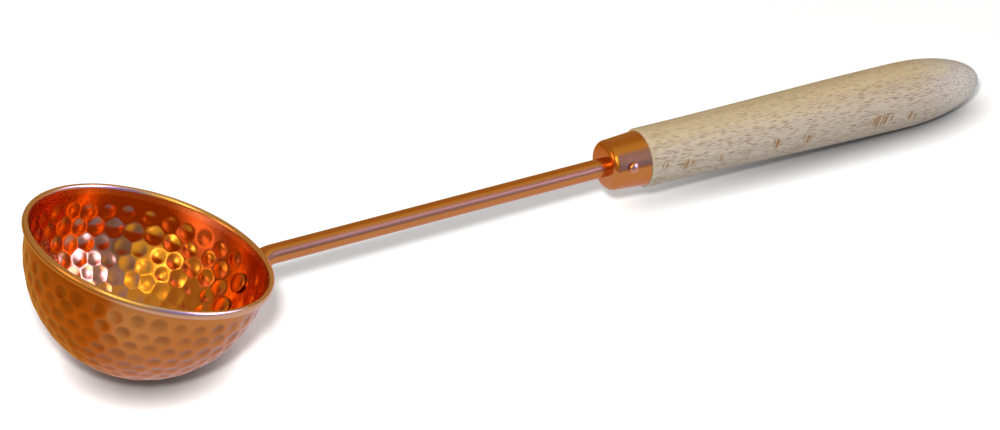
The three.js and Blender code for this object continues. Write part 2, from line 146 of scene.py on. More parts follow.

# Patterns of the copper finishes: sizes of their cells, and depths. The streaks of the rod and the rings of
# the cap are drawn coarser than the die and the tool leave them, so that they show. The rim is lighter pink
# above the first of two heights, and fully above the second. A face is fully outside where it faces away
# from the middle of the bowl by a distance in metres.
POLISH_CLOUD = 22.0
POLISH_SMEAR = 1.6
POLISH_RIPPLE = 1.3
POLISH_RIPPLE_DEPTH = 0.04
LIGHTER_RIM_FROM = -3.2
LIGHTER_RIM_TO = -1.8
OUTSIDE_FULL = 0.02
DIE_STREAK = (90.0, 0.9, 0.9)
DIE_STREAK_DEPTH = 0.03
SPUN_RING = (0.5, 25.0, 25.0)
SPUN_RING_DEPTH = 0.02
SPUN_CLOUD = 9.0
SET_BLOTCH = 2.4
SET_DENT_DEPTH = 0.1

# Patterns of the beech. Its blank is turned so that yellow sapwood faces up and away from the viewer, and
# begins at a share of the radius. That yellow face is partly painted light on the top of the grip, and the
# greyer face below is partly painted shade. Pores are drawn about three times as wide as real ones, so that
# they show.
BLANK_TURN = math.radians(35)
SAPWOOD_AND_LIGHT_FROM = -0.5
GROWTH_BAND = (90.0, 2.6, 2.6)
PORE = (4.2, 0.33, 0.33)
PORE_DEPTH = 0.1

# Ray flecks on the sides of the grip: distance behind the ferrule, drop below the axis, half the length and
# half the height of each patch of bars. A patch goes right through the wood and has a frayed edge, which is
# given in half sizes of the patch.
RAY_FLECKS = (
    (5.7, -2.2, 2.2, 1.8),
    (16.2, -0.6, 3.2, 2.6),
    (32.0, 0.6, 2.0, 1.6),
    (59.4, -0.2, 2.6, 2.4),
    (74.1, 0.9, 2.6, 2.6),
    (109.8, 0.5, 7.0, 3.0),
    (125.4, 1.6, 3.0, 2.4),
)
FLECK_THROUGH = 1e3
FLECK_FAR = 2.0
FLECK_FRAY = 0.9
FLECK_FRAY_WIDTH = 1.2
FLECK_OUTER = 1.6
FLECK_INNER = 1.25
BAR_SPACING = 1.4
BAR_SLANT = 0.35

# Table, in metres. Metal mirrors it cool in front of a line beyond the ladle and warm behind it. Left of the
# bend that line slants toward the viewer. The mirrored table also dims away from the ladle, whose left end
# is given, and takes warm light from the copper close to it.
TABLE_HALF_SIZE = 12.0
CONTACT_SHADE_REACH = 0.0125
PAPER_LIFT = 0.3
MIRRORED_LIFT = 1.15
TINT_BEND_X = -0.13
TINT_SLOPE_X = 0.6
TINT_SLOPE_Y = -0.8
TINT_WARM = -0.125
TINT_COOL = -0.09
DIM_LEFT_END = -0.185
DIM_FROM = 0.1
DIM_TO = 0.45
DIM_LEAST = 0.4
BOUNCE_REACH = 0.06
BOUNCE_SHARE = 0.6

# What polished metal mirrors of the room: azimuth, elevation and spread in degrees, colour and strength.
# Each lies over those before it.
ROOM_COLOUR = "#b3a26c"
CEILING = (-60, 68, 50, "#dbe2a4", 0.95)
DAYLIT_WALLS = (
    (-60, 28, 44, "#829eff", 1.7),
    (-82, 6, 28, "#657eff", 2.0),
    (-58, 40, 24, "#8398ff", 1.8),
    (-90, 28, 20, "#90a2e8", 0.85),
)
LAMPLIT_WALL = (-120, 46, 32, "#eaff9f", 1.15)
LAMPS_ABOVE = (
    (-138, 43, 12, "#ffe2a0", 6.5),
    (-112, 58, 7, "#ffc860", 8.0),
)
WINDOW = (
    (-22, 34, 16, "#d4d8ff", 7.0),
    (-42, 22, 16, "#6a7cff", 28.0),
    (-18, 23, 14, "#869cff", 14.5),
)
LAMP_LEFT = (174, 27, 16, "#ffc46a", 3.0)
FILL = 0.3

# Camera, fitted to the outlines of the rim, the rod and the grip
SENSOR_WIDTH = 36.0
LENS = 181.57
SIGHT = 100.0
EYE_AT = Vector((-0.847270, -1.453652, 1.167762))
EYE_RIGHT = Vector((0.871046, -0.491072, 0.011280))
EYE_FORWARD = Vector((0.410307, 0.714778, -0.566339))

WALL_RADIUS = RIM_RADIUS - BEAD_RADIUS + SHEET
MEAN_RADIUS = (WALL_RADIUS + BOWL_DEPTH) / 2
CURL_RADIUS = BEAD_RADIUS - SHEET
CURL_STRETCH = 1 + CURL_DROP / CURL_RADIUS
FERRULE_TAPER = (FERRULE_REAR_RADIUS - FERRULE_FRONT_RADIUS) / FERRULE_LENGTH
GRIP_RISE = SHAFT_RISE - GRIP_DROOP
ACROSS = Vector((0, 1, 0))
BOWL_MIDDLE = Vector((0, 0, 0))
LAID_DOWN = Matrix.Translation(LADLE_AT * MM) @ Matrix.Rotation(TILT, 4, "Y") @ Matrix.Scale(MM, 4)


def rising(angle):
    """Direction away from the bowl in the plane y = 0, at an angle above the rim plane."""
    return Vector((math.cos(angle), 0, math.sin(angle)))


SHAFT_FROM = Vector((RIM_RADIUS, 0, -SHAFT_DROP))
SHAFT_ALONG = rising(SHAFT_RISE)
GRIP_FROM = SHAFT_FROM + SHAFT_ALONG * SHAFT_REACH
GRIP_ALONG = rising(GRIP_RISE)
GRIP_UP = rising(GRIP_RISE + math.pi / 2)


# Materials

def linear(code):
    """Linear RGBA of an sRGB hex colour."""
    parts = [int(code[i:i + 2], 16) / 255 for i in (1, 3, 5)]
    return [p / 12.92 if p <= 0.04045 else ((p + 0.055) / 1.055) ** 2.4 for p in parts] + [1.0]


def per(sizes):
    """Scale of a pattern whose cells have these sizes along X, Y and Z."""
    return [1 / size for size in sizes]


def add(tree, kind, inputs=None, **settings):
    """Adds a node, sets its settings and fills its inputs from values or from other nodes' outputs."""
    node = tree.nodes.new(kind)
    for name, value in settings.items():
        setattr(node, name, value)
    for socket, source in (inputs or {}).items():
        if isinstance(source, bpy.types.NodeSocket):
            tree.links.new(source, node.inputs[socket])
        else:
            node.inputs[socket].default_value = source
    return node


def new_finish(name):
    """An empty material and its node tree."""
    material = bpy.data.materials.new(name)
    material.use_nodes = True
    tree = material.node_tree
    tree.nodes.clear()
    return material, tree


def millimetres(tree, origin, turn):
    """Object coordinates in millimetres from a point of the laid ladle, turned about the Y axis."""
    where = add(tree, "ShaderNodeTexCoord")
    return add(tree, "ShaderNodeMapping", {
        "Vector": where.outputs["Object"],
        "Location": LAID_DOWN @ origin,
        "Rotation": (0, turn, 0),
        "Scale": (MM, MM, MM),
    }, vector_type="TEXTURE").outputs["Vector"]


# Sheet copper, hammered cold from outside and polished. The eye sees a deep orange mirror, redder where it
# mirrors itself. The polish hasn't reached the marks outside, so they are brown, with painted shade darker
# toward their upper edges, and the rim is a lighter pink.
def hammered_copper():
    material, tree = new_finish("hammered_polished_copper")
    at = millimetres(tree, BOWL_MIDDLE, TILT)
    cloud = add(tree, "ShaderNodeTexNoise", {
        "Vector": at, "Scale": 1 / POLISH_CLOUD, "Detail": 3.0, "Roughness": 0.55,
    })
    colour = add(tree, "ShaderNodeMix", {
        "Factor": cloud.outputs["Fac"], "A": linear("#d07630"), "B": linear("#de8945"),
    }, data_type="RGBA")
    height = add(tree, "ShaderNodeSeparateXYZ", {0: at})
    bead = add(tree, "ShaderNodeMapRange", {
        "Value": height.outputs["Z"], "From Min": LIGHTER_RIM_FROM, "From Max": LIGHTER_RIM_TO,
    }, interpolation_type="SMOOTHSTEP")
    lighter_rim = add(tree, "ShaderNodeMix", {
        "Factor": bead.outputs["Result"], "A": colour.outputs[2], "B": linear("#e8a878"),
    }, data_type="RGBA")
    where = add(tree, "ShaderNodeTexCoord")
    from_middle = add(tree, "ShaderNodeVectorMath", {
        0: where.outputs["Object"], 1: LADLE_AT * MM,
    }, operation="SUBTRACT")
    facing = add(tree, "ShaderNodeVectorMath", {
        0: from_middle.outputs[0], 1: where.outputs["Normal"],
    }, operation="DOT_PRODUCT")
    outside = add(tree, "ShaderNodeMapRange", {
        "Value": facing.outputs["Value"], "From Min": 0.0, "From Max": OUTSIDE_FULL,
    })
    # Marks outside are browner by tarnish, with painted shade toward their upper edges
    tarnish_and_shade = add(tree, "ShaderNodeAttribute", attribute_name="tarnish_and_shade")
    mark = add(tree, "ShaderNodeMapRange", {
        "Value": tarnish_and_shade.outputs["Fac"], "From Min": 0.0, "From Max": 0.9, "To Max": 0.6,
    }, interpolation_type="SMOOTHSTEP")
    brown = add(tree, "ShaderNodeMath", {
        0: mark.outputs["Result"], 1: outside.outputs["Result"],
    }, operation="MULTIPLY")
    tarnished_and_shaded = add(tree, "ShaderNodeMix", {
        "Factor": brown.outputs[0], "A": lighter_rim.outputs[2], "B": linear("#7d4c26"),
    }, data_type="RGBA")
    smear = add(tree, "ShaderNodeTexNoise", {"Vector": at, "Scale": 1 / POLISH_SMEAR, "Detail": 4.0})
    dull = add(tree, "ShaderNodeMapRange", {
        "Value": smear.outputs["Fac"], "From Min": 0.3, "From Max": 0.7, "To Min": 0.12, "To Max": 0.2,
    })
    rough = add(tree, "ShaderNodeMath", {
        0: bead.outputs["Result"], 1: 0.08, 2: dull.outputs["Result"],
    }, operation="MULTIPLY_ADD")
    ripple = add(tree, "ShaderNodeTexNoise", {"Vector": at, "Scale": 1 / POLISH_RIPPLE, "Detail": 2.0})
    bump = add(tree, "ShaderNodeBump", {
        "Height": ripple.outputs["Fac"], "Strength": 0.25, "Distance": POLISH_RIPPLE_DEPTH * MM,
    })
    shader = add(tree, "ShaderNodeBsdfPrincipled", {
        "Base Color": tarnished_and_shaded.outputs[2], "Metallic": 1.0, "Roughness": rough.outputs[0],
        "Normal": bump.outputs[0],
    })
    add(tree, "ShaderNodeOutputMaterial", {"Surface": shader.outputs[0]})
    return material


# Drawn round copper rod. The eye sees lengthwise streaks from the die in a bright orange mirror.
def drawn_copper():
    material, tree = new_finish("drawn_copper_rod")
    at = millimetres(tree, SHAFT_FROM, TILT - SHAFT_RISE)
    stretched = add(tree, "ShaderNodeVectorMath", {0: at, 1: per(DIE_STREAK)}, operation="MULTIPLY")
    streak = add(tree, "ShaderNodeTexNoise", {"Vector": stretched.outputs[0], "Scale": 1.0, "Detail": 3.0})
    colour = add(tree, "ShaderNodeMix", {
        "Factor": streak.outputs["Fac"], "A": linear("#d27a36"), "B": linear("#dd8c50"),
    }, data_type="RGBA")
    rough = add(tree, "ShaderNodeMapRange", {
        "Value": streak.outputs["Fac"], "From Min": 0.3, "From Max": 0.7, "To Min": 0.14, "To Max": 0.26,
    })
    bump = add(tree, "ShaderNodeBump", {
        "Height": streak.outputs["Fac"], "Strength": 0.2, "Distance": DIE_STREAK_DEPTH * MM,
    })
    shader = add(tree, "ShaderNodeBsdfPrincipled", {
        "Base Color": colour.outputs[2], "Metallic": 1.0, "Roughness": rough.outputs[0],
        "Normal": bump.outputs[0],
    })
    add(tree, "ShaderNodeOutputMaterial", {"Surface": shader.outputs[0]})
    return material


# Spun copper cap. The eye sees fine rings round the axis in a bright orange mirror.
def spun_copper():
    material, tree = new_finish("spun_copper_cap")
    at = millimetres(tree, GRIP_FROM, TILT - GRIP_RISE)
    rings = add(tree, "ShaderNodeVectorMath", {0: at, 1: per(SPUN_RING)}, operation="MULTIPLY")
    ring = add(tree, "ShaderNodeTexNoise", {"Vector": rings.outputs[0], "Scale": 1.0, "Detail": 2.0})
    cloud = add(tree, "ShaderNodeTexNoise", {"Vector": at, "Scale": 1 / SPUN_CLOUD, "Detail": 3.0})
    colour = add(tree, "ShaderNodeMix", {
        "Factor": cloud.outputs["Fac"], "A": linear("#d27a35"), "B": linear("#dd8a4a"),
    }, data_type="RGBA")
    rough = add(tree, "ShaderNodeMapRange", {
        "Value": ring.outputs["Fac"], "From Min": 0.3, "From Max": 0.7, "To Min": 0.12, "To Max": 0.2,
    })
    bump = add(tree, "ShaderNodeBump", {
        "Height": ring.outputs["Fac"], "Strength": 0.1, "Distance": SPUN_RING_DEPTH * MM,
    })
    shader = add(tree, "ShaderNodeBsdfPrincipled", {
        "Base Color": colour.outputs[2], "Metallic": 1.0, "Roughness": rough.outputs[0],
        "Normal": bump.outputs[0],
    })
    add(tree, "ShaderNodeOutputMaterial", {"Surface": shader.outputs[0]})
    return material


# Headed copper wire. The eye sees small bright domes with soft dents from the set, red-brown on the rivets
# and pinker on the nail.
def headed_copper(name, deep, bright):
    material, tree = new_finish(name)
    at = millimetres(tree, BOWL_MIDDLE, TILT)
    blotch = add(tree, "ShaderNodeTexNoise", {"Vector": at, "Scale": 1 / SET_BLOTCH, "Detail": 3.0})
    colour = add(tree, "ShaderNodeMix", {
        "Factor": blotch.outputs["Fac"], "A": linear(deep), "B": linear(bright),
    }, data_type="RGBA")
    rough = add(tree, "ShaderNodeMapRange", {
        "Value": blotch.outputs["Fac"], "From Min": 0.3, "From Max": 0.7, "To Min": 0.14, "To Max": 0.26,
    })
    bump = add(tree, "ShaderNodeBump", {
        "Height": blotch.outputs["Fac"], "Strength": 0.3, "Distance": SET_DENT_DEPTH * MM,
    })
    shader = add(tree, "ShaderNodeBsdfPrincipled", {
        "Base Color": colour.outputs[2], "Metallic": 1.0, "Roughness": rough.outputs[0],
        "Normal": bump.outputs[0],
    })
    add(tree, "ShaderNodeOutputMaterial", {"Surface": shader.outputs[0]})
    return material


# Beech, turned and sanded, no lacquer. The eye sees a pale matt wood, yellower on one face of the blank and
# greyer on the other, partly as sapwood and partly as painted light on top and painted shade below, greyer
# also at the end, with fine pore lines along the grain and short brown bars in bands, where the rays are cut
# across on the side.
def turned_beech():
    material, tree = new_finish("turned_sanded_beech")
    at = millimetres(tree, GRIP_FROM, TILT - GRIP_RISE)
    # The yellow face up is partly painted light, and the greyer face below partly painted shade
    face = Vector((0, math.sin(BLANK_TURN), math.cos(BLANK_TURN)))
    across = add(tree, "ShaderNodeVectorMath", {0: at, 1: face}, operation="DOT_PRODUCT")
    sapwood_and_painted_light = add(tree, "ShaderNodeMapRange", {
        "Value": across.outputs["Value"], "From Min": SAPWOOD_AND_LIGHT_FROM * GRIP_RADIUS, "From Max": GRIP_RADIUS,
    })
    blank_and_painted_light = add(tree, "ShaderNodeMix", {
        "Factor": sapwood_and_painted_light.outputs["Result"], "A": linear("#ada28e"), "B": linear("#d6bb8e"),
    }, data_type="RGBA")
    along = add(tree, "ShaderNodeSeparateXYZ", {0: at})
    toward_end = add(tree, "ShaderNodeMapRange", {
        "Value": along.outputs["X"], "From Min": GRIP_LENGTH - GRIP_END_LENGTH, "From Max": GRIP_LENGTH,
        "To Max": 0.8,
    }, interpolation_type="SMOOTHSTEP")
    ended = add(tree, "ShaderNodeMix", {
        "Factor": toward_end.outputs["Result"], "A": blank_and_painted_light.outputs[2], "B": linear("#e0dace"),
    }, data_type="RGBA")
    bands = add(tree, "ShaderNodeVectorMath", {0: at, 1: per(GROWTH_BAND)}, operation="MULTIPLY")
    growth = add(tree, "ShaderNodeTexNoise", {"Vector": bands.outputs[0], "Scale": 1.0, "Detail": 5.0})
    tone = add(tree, "ShaderNodeMapRange", {
        "Value": growth.outputs["Fac"], "From Min": 0.3, "From Max": 0.7, "To Min": 0.9, "To Max": 1.08,
    })
    grained = add(tree, "ShaderNodeVectorMath", {
        0: ended.outputs[2], 3: tone.outputs["Result"],
    }, operation="SCALE")
    lines = add(tree, "ShaderNodeVectorMath", {0: at, 1: per(PORE)}, operation="MULTIPLY")
    vessels = add(tree, "ShaderNodeTexVoronoi", {"Vector": lines.outputs[0], "Scale": 1.0})
    pore = add(tree, "ShaderNodeMapRange", {
        "Value": vessels.outputs["Distance"], "From Min": 0.48, "From Max": 0.24,
    }, interpolation_type="SMOOTHSTEP")
    filled = add(tree, "ShaderNodeMapRange", {
        "Value": vessels.outputs["Color"], "From Min": 0.3, "From Max": 0.7, "To Min": 0.25, "To Max": 1.0,
    })
    dark = add(tree, "ShaderNodeMapRange", {
        "Value": sapwood_and_painted_light.outputs["Result"], "From Min": 0.3, "From Max": 0.9, "To Min": 1.0, "To Max": 0.5,
    })
    strength = add(tree, "ShaderNodeMath", {
        0: filled.outputs["Result"], 1: dark.outputs["Result"],
    }, operation="MULTIPLY")
    pored = add(tree, "ShaderNodeMath", {
        0: pore.outputs["Result"], 1: strength.outputs[0],
    }, operation="MULTIPLY")
    lined = add(tree, "ShaderNodeMix", {
        "Factor": pored.outputs[0], "A": grained.outputs[0], "B": linear("#70492f"),
    }, data_type="RGBA")
    nearest = FLECK_FAR
    for place, drop, half_length, half_height in RAY_FLECKS:
        inside = add(tree, "ShaderNodeMapping", {
            "Vector": at, "Location": (place, 0, -drop), "Scale": (half_length, FLECK_THROUGH, half_height),
        }, vector_type="TEXTURE")
        reach = add(tree, "ShaderNodeVectorMath", {0: inside.outputs[0]}, operation="LENGTH")
        nearest = add(tree, "ShaderNodeMath", {
            0: nearest, 1: reach.outputs["Value"],
        }, operation="MINIMUM").outputs[0]
    ragged = add(tree, "ShaderNodeTexNoise", {"Vector": at, "Scale": 1 / FLECK_FRAY, "Detail": 1.0})
    frayed = add(tree, "ShaderNodeMath", {
        0: ragged.outputs["Fac"], 1: FLECK_FRAY_WIDTH, 2: nearest,
    }, operation="MULTIPLY_ADD")
    patch = add(tree, "ShaderNodeMapRange", {
        "Value": frayed.outputs[0], "From Min": FLECK_OUTER, "From Max": FLECK_INNER,
    })
    slant = add(tree, "ShaderNodeVectorMath", {0: at, 1: (1, 0, -BAR_SLANT)}, operation="DOT_PRODUCT")
    bars = add(tree, "ShaderNodeTexNoise", {
        "W": slant.outputs["Value"], "Scale": 1 / BAR_SPACING, "Detail": 0.0,
    }, noise_dimensions="1D")
    bar = add(tree, "ShaderNodeMapRange", {
        "Value": bars.outputs["Fac"], "From Min": 0.42, "From Max": 0.52, "To Max": 0.9,
    }, interpolation_type="SMOOTHSTEP")
    fleck = add(tree, "ShaderNodeMath", {
        0: patch.outputs["Result"], 1: bar.outputs["Result"],
    }, operation="MULTIPLY")
    flecked = add(tree, "ShaderNodeMix", {
        "Factor": fleck.outputs[0], "A": lined.outputs[2], "B": linear("#8a6233"),
    }, data_type="RGBA")
    bump = add(tree, "ShaderNodeBump", {
        "Height": pore.outputs["Result"], "Strength": 0.4, "Distance": PORE_DEPTH * MM,
    }, invert=True)
    shader = add(tree, "ShaderNodeBsdfPrincipled", {
        "Base Color": flecked.outputs[2], "Roughness": 0.62, "Normal": bump.outputs[0],
    })
    add(tree, "ShaderNodeOutputMaterial", {"Surface": shader.outputs[0]})
    return material


# Pieces

def keep_piece(bm, name, node, finish):
    """Lays a drawn shape down, shades it, and lets it stand for a CAD node."""
    bmesh.ops.transform(bm, matrix=LAID_DOWN, verts=bm.verts)
    bm.normal_update()
    for face in bm.faces:
        face.smooth = True
    for edge in bm.edges:
        edge.smooth = edge.calc_face_angle(0) < CREASE
    mesh = bpy.data.meshes.new(name)
    bm.to_mesh(mesh)
    bm.free()
    mesh.materials.append(finish)
    piece = bpy.data.objects.new(name, mesh)
    bpy.context.scene.collection.objects.link(piece)
    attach(piece, "root")
    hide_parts(node)


def arc(centre, radius, start, end, steps):
    """Points of a circle in a section, between two angles in degrees."""
    points = []
    for i in range(steps + 1):
        angle = math.radians(start + (end - start) * i / steps)
        points.append((centre[0] + radius * math.cos(angle), centre[1] + radius * math.sin(angle)))
    return points


def dome(radius, base, height, steps):
    """Quarter of an ellipse, from its edge to the axis."""
    points = []
    for i in range(steps):
        angle = math.pi / 2 * i / steps
        points.append((radius * math.cos(angle), base + height * math.sin(angle)))
    return points + [(0.0, base + height)]


def turned(outline, steps, closed=False):
    """Spins a section, given as (radius, height), once round the Z axis."""
    bm = bmesh.new()
    verts = [bm.verts.new((radius, 0, height)) for radius, height in outline]
    edges = [bm.edges.new(pair) for pair in zip(verts, verts[1:])]
    if closed:
        edges.append(bm.edges.new((verts[-1], verts[0])))
    bmesh.ops.spin(bm, geom=verts + edges, cent=(0, 0, 0), axis=(0, 0, 1), angle=2 * math.pi,
                   steps=steps, use_merge=True)
    bmesh.ops.remove_doubles(bm, verts=bm.verts, dist=MERGE_DISTANCE)
    bmesh.ops.recalc_face_normals(bm, faces=bm.faces)
    return bm


def stand(bm, origin, along, up):
    """Moves a shape drawn on the Z axis to an origin and a direction, with its X axis turned up."""
    sideways = along.cross(up)
    turn = Matrix((up, sideways, along)).transposed().to_4x4()
    bmesh.ops.transform(bm, matrix=Matrix.Translation(origin) @ turn, verts=bm.verts)
    return bm


# The outside of the bowl is half an ellipsoid. Its points are named by the angle below the rim, as seen in
# the section, and by the turn round the axis of the bowl.
def wall_point(angle, turn=0.0):
    radius = WALL_RADIUS * math.cos(angle)
    return Vector((radius * math.cos(turn), radius * math.sin(turn), -BOWL_DEPTH * math.sin(angle)))


def wall_normal(point):
    across = WALL_RADIUS ** 2
    return Vector((point.x / across, point.y / across, point.z / BOWL_DEPTH ** 2)).normalized()


UPPER_RIVET = math.asin(UPPER_RIVET_DROP / BOWL_DEPTH)
LOWER_RIVET = UPPER_RIVET + RIVET_PITCH / MEAN_RADIUS


def under_rivet(point):
    """True where a mark would reach under the head of a rivet."""
    clear = RIVET_HEAD_RADIUS + DENT_DIAMETER / 2
    return any((wall_point(angle) - point).length < clear for angle in (UPPER_RIVET, LOWER_RIVET))


def hammer_marks():
    """Middle, radius and depth of every mark, in staggered rings struck by hand."""
    hand = random.Random(HAND_SEED)
    marks = []
    angle = math.asin(FIRST_RING_DROP / BOWL_DEPTH)
    shift = 0.0
    while WALL_RADIUS * math.cos(angle) > BASE_RADIUS + LEAST_DENT_PITCH / 2:
        fitting = 2 * math.pi * WALL_RADIUS * math.cos(angle) / LEAST_DENT_PITCH
        count = min(DENTS_PER_RING, DENT_COUNT_STEP * int(fitting / DENT_COUNT_STEP))
        for i in range(count):
            turn = 2 * math.pi * (i + shift) / count
            lower = RING_LEAN * math.sin(turn) + hand.uniform(-1, 1) * DENT_WANDER
            turn += hand.uniform(-1, 1) * DENT_WANDER / (WALL_RADIUS * math.cos(angle))
            radius = DENT_DIAMETER / 2 * (1 + hand.uniform(-1, 1) * DENT_SIZE_SPREAD)
            depth = DENT_DEPTH * (1 + hand.uniform(-1, 1) * DENT_DEPTH_SPREAD)
            point = wall_point(angle + lower / MEAN_RADIUS, turn)
            if not under_rivet(point):
                marks.append((point, radius, depth))
        shift = 0.5 - shift
        angle += RING_PITCH / MEAN_RADIUS
    return marks


def strike(bm, marks):
    """Pushes the wall in at every mark and notes its tarnish, with painted shade darker toward its upper
    edge.
    """
    tarnish_and_shade = bm.verts.layers.float.new("tarnish_and_shade")
    tree = KDTree(len(marks))
    for i, (point, radius, depth) in enumerate(marks):
        tree.insert(point, i)
    tree.balance()
    for vert in bm.verts:
        deepest = 0.0
        darkest = 0.0
        for point, i, distance in tree.find_range(vert.co, DENT_DIAMETER):
            radius, depth = marks[i][1:]
            share = max(0.0, 1 - (distance / radius) ** 2)
            above = (vert.co.z - point.z) / radius
            deepest = max(deepest, depth * share ** DENT_EDGE_POWER)
            # Tarnish all over the mark, plus painted shade toward its upper edge
            left = share ** TARNISH_AND_SHADE_EDGE_POWER * (TARNISH_EVEN + PAINTED_SHADE_ABOVE * above)
            darkest = max(darkest, left * depth / DENT_DEPTH)
        vert[tarnish_and_shade] = darkest
        vert.co -= wall_normal(vert.co) * deepest


def bowl():
    base_angle = math.acos(BASE_RADIUS / WALL_RADIUS)
    base = wall_point(base_angle)
    outline = [(0.0, base.z), (BASE_RADIUS / 2, base.z)]
    for row in range(WALL_ROWS):
        point = wall_point(base_angle * (1 - row / WALL_ROWS))
        outline.append((point.x, point.z))
    curl = arc((RIM_RADIUS, 0.0), CURL_RADIUS, 180, CURL_END, CURL_STEPS)
    outline += [(radius, height * CURL_STRETCH - CURL_DROP) for radius, height in curl]
    bm = turned(outline, BOWL_STEPS)
    side = min(bm.faces, key=lambda face: abs(face.calc_center_median().z + BOWL_DEPTH / 2))
    if side.normal.dot(wall_normal(side.calc_center_median())) < 0:
        bmesh.ops.reverse_faces(bm, faces=bm.faces)
    strike(bm, hammer_marks())
    bm.normal_update()
    bmesh.ops.solidify(bm, geom=bm.faces[:], thickness=SHEET)
    return bm


def rim_wire():
    last = 360 - 360 / WIRE_SIDES
    section = arc((RIM_RADIUS, 0.0), CURL_RADIUS - WIRE_CLEARANCE, 0, last, WIRE_SIDES - 1)
    return turned(section, BOWL_STEPS, True)


# A station of the shaft: the middle of its section, the direction away from the bowl, half its width, half
# its thickness and how far it is flattened.
def palm_station(angle):
    wall = wall_point(angle)
    outward = wall_normal(wall)
    middle = wall + outward * (FIT + PALM_THICKNESS / 2)
    past = max(0.0, (angle - LOWER_RIVET) * MEAN_RADIUS)
    half_width = math.sqrt(max(0.0, (PALM_WIDTH / 2) ** 2 - past ** 2))
    return middle, outward, half_width, PALM_THICKNESS / 2, 1.0


def rod_station(middle, along, run):
    eased = min(1.0, run / FLATTEN_RUN)
    flat = 1 - eased * eased * (3 - 2 * eased)
    outward = Vector((along.z, 0, -along.x))
    half_width = SHAFT_RADIUS + (PALM_WIDTH / 2 - SHAFT_RADIUS) * flat
    half_thickness = SHAFT_RADIUS + (PALM_THICKNESS / 2 - SHAFT_RADIUS) * flat
    return middle, outward, half_width, half_thickness, flat


def shaft_stations():
    """Stations from the palm's lower end, up the bowl, round the bend and along the rod to its tang."""
    stations = []
    end_turn = PALM_WIDTH / 2 / MEAN_RADIUS
    for degrees in PALM_END_ANGLES:
        stations.append(palm_station(LOWER_RIVET + end_turn * math.sin(math.radians(degrees))))
    top = UPPER_RIVET - RIVET_TAIL_RADIUS / MEAN_RADIUS
    for i in range(PALM_STEPS + 1):
        stations.append(palm_station(LOWER_RIVET + (top - LOWER_RIVET) * i / PALM_STEPS))
    middle, outward = stations[-1][:2]
    rise = Vector((-outward.z, 0, outward.x))
    start = SHAFT_FROM + SHAFT_ALONG * BEND_START
    gap = start - middle
    turn = rise.x * SHAFT_ALONG.z - rise.z * SHAFT_ALONG.x
    corner = middle + rise * ((gap.x * SHAFT_ALONG.z - gap.z * SHAFT_ALONG.x) / turn)
    run = 0.0
    last = middle
    for i in range(1, BEND_STEPS + 1):
        t = i / BEND_STEPS
        point = middle * (1 - t) ** 2 + corner * 2 * t * (1 - t) + start * t ** 2
        along = ((corner - middle) * (1 - t) + (start - corner) * t).normalized()
        run += (point - last).length
        last = point
        stations.append(rod_station(point, along, run))
    end = SHAFT_REACH + TANG_LENGTH
    reaches = [BEND_START + past for past in RINGS_PAST_BEND]
    for reach in reaches + [SHAFT_REACH - FERRULE_LENGTH, end - TANG_CHAMFER]:
        point = SHAFT_FROM + SHAFT_ALONG * reach
        stations.append(rod_station(point, SHAFT_ALONG, run + reach - BEND_START))
    tip = SHAFT_FROM + SHAFT_ALONG * end
    tip_radius = SHAFT_RADIUS - TANG_CHAMFER
    stations.append((tip, stations[-1][1], tip_radius, tip_radius, 0.0))
    return stations


def shaft():
    bm = bmesh.new()
    loops = []
    for middle, outward, half_width, half_thickness, flat in shaft_stations():
        power = 2 / (2 + (PALM_SQUARENESS - 2) * flat)
        verts = bmesh.ops.create_circle(bm, segments=SECTION_STEPS, radius=1.0)["verts"]
        for vert in verts:
            across = half_width * math.copysign(abs(vert.co.x) ** power, vert.co.x)
            through = half_thickness * math.copysign(abs(vert.co.y) ** power, vert.co.y)
            dish = flat * across ** 2 / (2 * WALL_RADIUS)
            vert.co = middle + outward * (through - dish) + ACROSS * across
        loops.append(list({edge for vert in verts for edge in vert.link_edges}))
    bmesh.ops.edgeloop_fill(bm, edges=loops[0])
    bmesh.ops.edgeloop_fill(bm, edges=loops[-1])
    for near, far in zip(loops, loops[1:]):
        bmesh.ops.bridge_loops(bm, edges=near + far)
    bmesh.ops.recalc_face_normals(bm, faces=bm.faces)
    return bm


def rivet(angle):
    wall = wall_point(angle)
    head_face = -SHEET - FIT - RIVET_HEAD_RADIUS ** 2 / (2 * WALL_RADIUS)
    tail_face = FIT + PALM_THICKNESS + FIT
    crown_height = RIVET_HEAD_EDGE - RIVET_HEAD_HEIGHT
    crown = dome(RIVET_HEAD_RADIUS, head_face - RIVET_HEAD_EDGE, crown_height, DOME_STEPS)
    head = [(RIVET_HEAD_RADIUS, head_face)] + crown
    tail = dome(RIVET_TAIL_RADIUS, tail_face, RIVET_TAIL_HEIGHT, DOME_STEPS)
    outline = head[::-1] + [(RIVET_SHANK, head_face), (RIVET_SHANK, tail_face)] + tail
    return stand(turned(outline, PIN_STEPS), wall, wall_normal(wall), ACROSS)


def cap_outline(inset, rear, hole):
    """Ferrule outline from its hole to its rear edge, moved in by an inset. It also makes the tenon."""
    front = inset - FERRULE_LENGTH
    edge = max(FERRULE_EDGE - inset, FIT)
    side_start = front + edge
    at_start = FERRULE_FRONT_RADIUS + FERRULE_TAPER * (side_start + FERRULE_LENGTH) - inset
    at_rear = FERRULE_FRONT_RADIUS + FERRULE_TAPER * (rear + FERRULE_LENGTH) - inset
    corner = arc((at_start - edge, side_start), edge, -90, 0, FERRULE_EDGE_STEPS)
    return [(hole, front)] + corner + [(at_rear, rear)]


def lean(bm, bore):
    """The bore follows the rod, which meets the grip at a small angle."""
    bore_end = TANG_LENGTH + FIT + GRIP_EDGE
    for vert in bm.verts:
        if math.hypot(vert.co.x, vert.co.y) < bore + FIT and vert.co.z < bore_end:
            vert.co.x += vert.co.z * math.tan(GRIP_DROOP)


